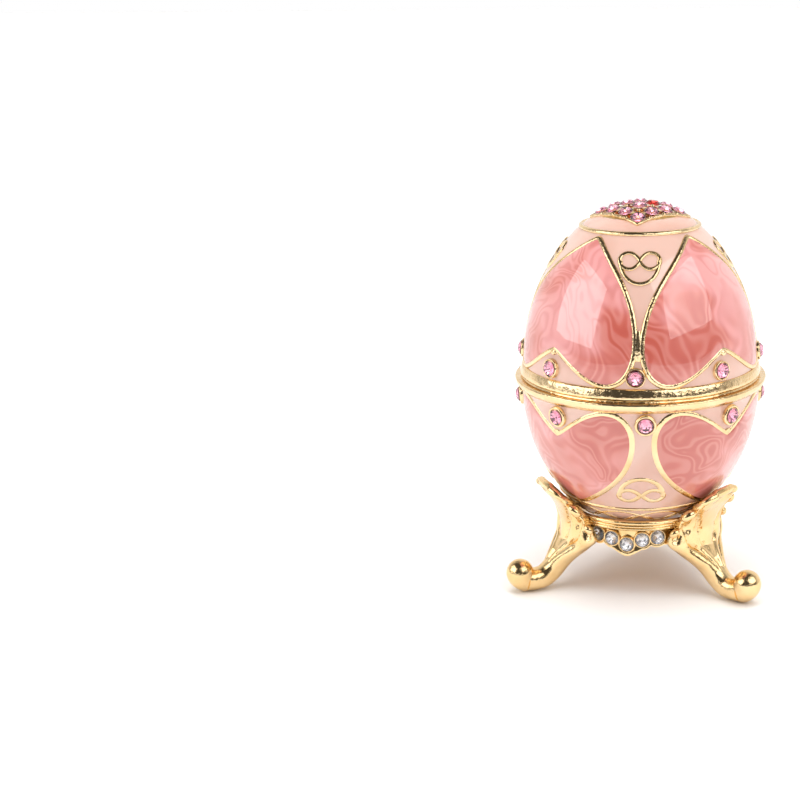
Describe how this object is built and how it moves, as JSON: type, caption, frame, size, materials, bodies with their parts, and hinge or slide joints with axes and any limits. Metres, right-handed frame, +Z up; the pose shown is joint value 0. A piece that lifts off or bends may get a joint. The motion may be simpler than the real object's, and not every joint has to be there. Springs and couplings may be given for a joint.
{
  "type": "jewelled egg trinket box",
  "caption": "Enamelled egg-shaped trinket box that opens at its middle, set with crystals, on a three-legged gilt stand.",
  "frame": {"origin": "middle of the footprint, on the floor that the three feet stand on", "axes": "+Z up along the egg's axis, -Y out of the stand's front apron, +X to the right seen from the front"},
  "size_m": [0.0424, 0.0446, 0.0644],
  "materials": {
    "pale_gold": "mirror-polished pale gold plate on cast zinc alloy, enamelled outside in coral and cream",
    "rose_crystal": "faceted rose crystal",
    "clear_crystal": "faceted clear crystal"
  },
  "bodies": {
    "root": {"egg_lid": "pale_gold", "egg_base": "pale_gold", "stand": "pale_gold", "lid_crystal_01": "rose_crystal", "lid_crystal_02": "rose_crystal", "lid_crystal_03": "rose_crystal", "lid_crystal_04": "rose_crystal", "lid_crystal_05": "rose_crystal", "lid_crystal_06": "rose_crystal", "lid_crystal_07": "rose_crystal", "lid_crystal_08": "rose_crystal", "base_crystal_01": "rose_crystal", "base_crystal_02": "rose_crystal", "base_crystal_03": "rose_crystal", "base_crystal_04": "rose_crystal", "base_crystal_05": "rose_crystal", "base_crystal_06": "rose_crystal", "base_crystal_07": "rose_crystal", "base_crystal_08": "rose_crystal", "crown_crystal_01": "rose_crystal", "crown_crystal_02": "rose_crystal", "crown_crystal_03": "rose_crystal", "crown_crystal_04": "rose_crystal", "crown_crystal_05": "rose_crystal", "crown_crystal_06": "rose_crystal", "crown_crystal_07": "rose_crystal", "crown_crystal_08": "rose_crystal", "crown_crystal_09": "rose_crystal", "crown_crystal_10": "rose_crystal", "crown_crystal_11": "rose_crystal", "crown_crystal_12": "rose_crystal", "crown_crystal_13": "rose_crystal", "crown_crystal_14": "rose_crystal", "crown_crystal_15": "rose_crystal", "crown_crystal_16": "rose_crystal", "apron_crystal_01": "clear_crystal", "apron_crystal_02": "clear_crystal", "apron_crystal_03": "clear_crystal", "apron_crystal_04": "clear_crystal", "apron_crystal_05": "clear_crystal", "apron_crystal_06": "clear_crystal", "apron_crystal_07": "clear_crystal", "apron_crystal_08": "clear_crystal", "apron_crystal_09": "clear_crystal", "apron_crystal_10": "clear_crystal", "apron_crystal_11": "clear_crystal", "apron_crystal_12": "clear_crystal", "apron_crystal_13": "clear_crystal", "apron_crystal_14": "clear_crystal", "apron_crystal_15": "clear_crystal"}
  },
  "joints": []
}
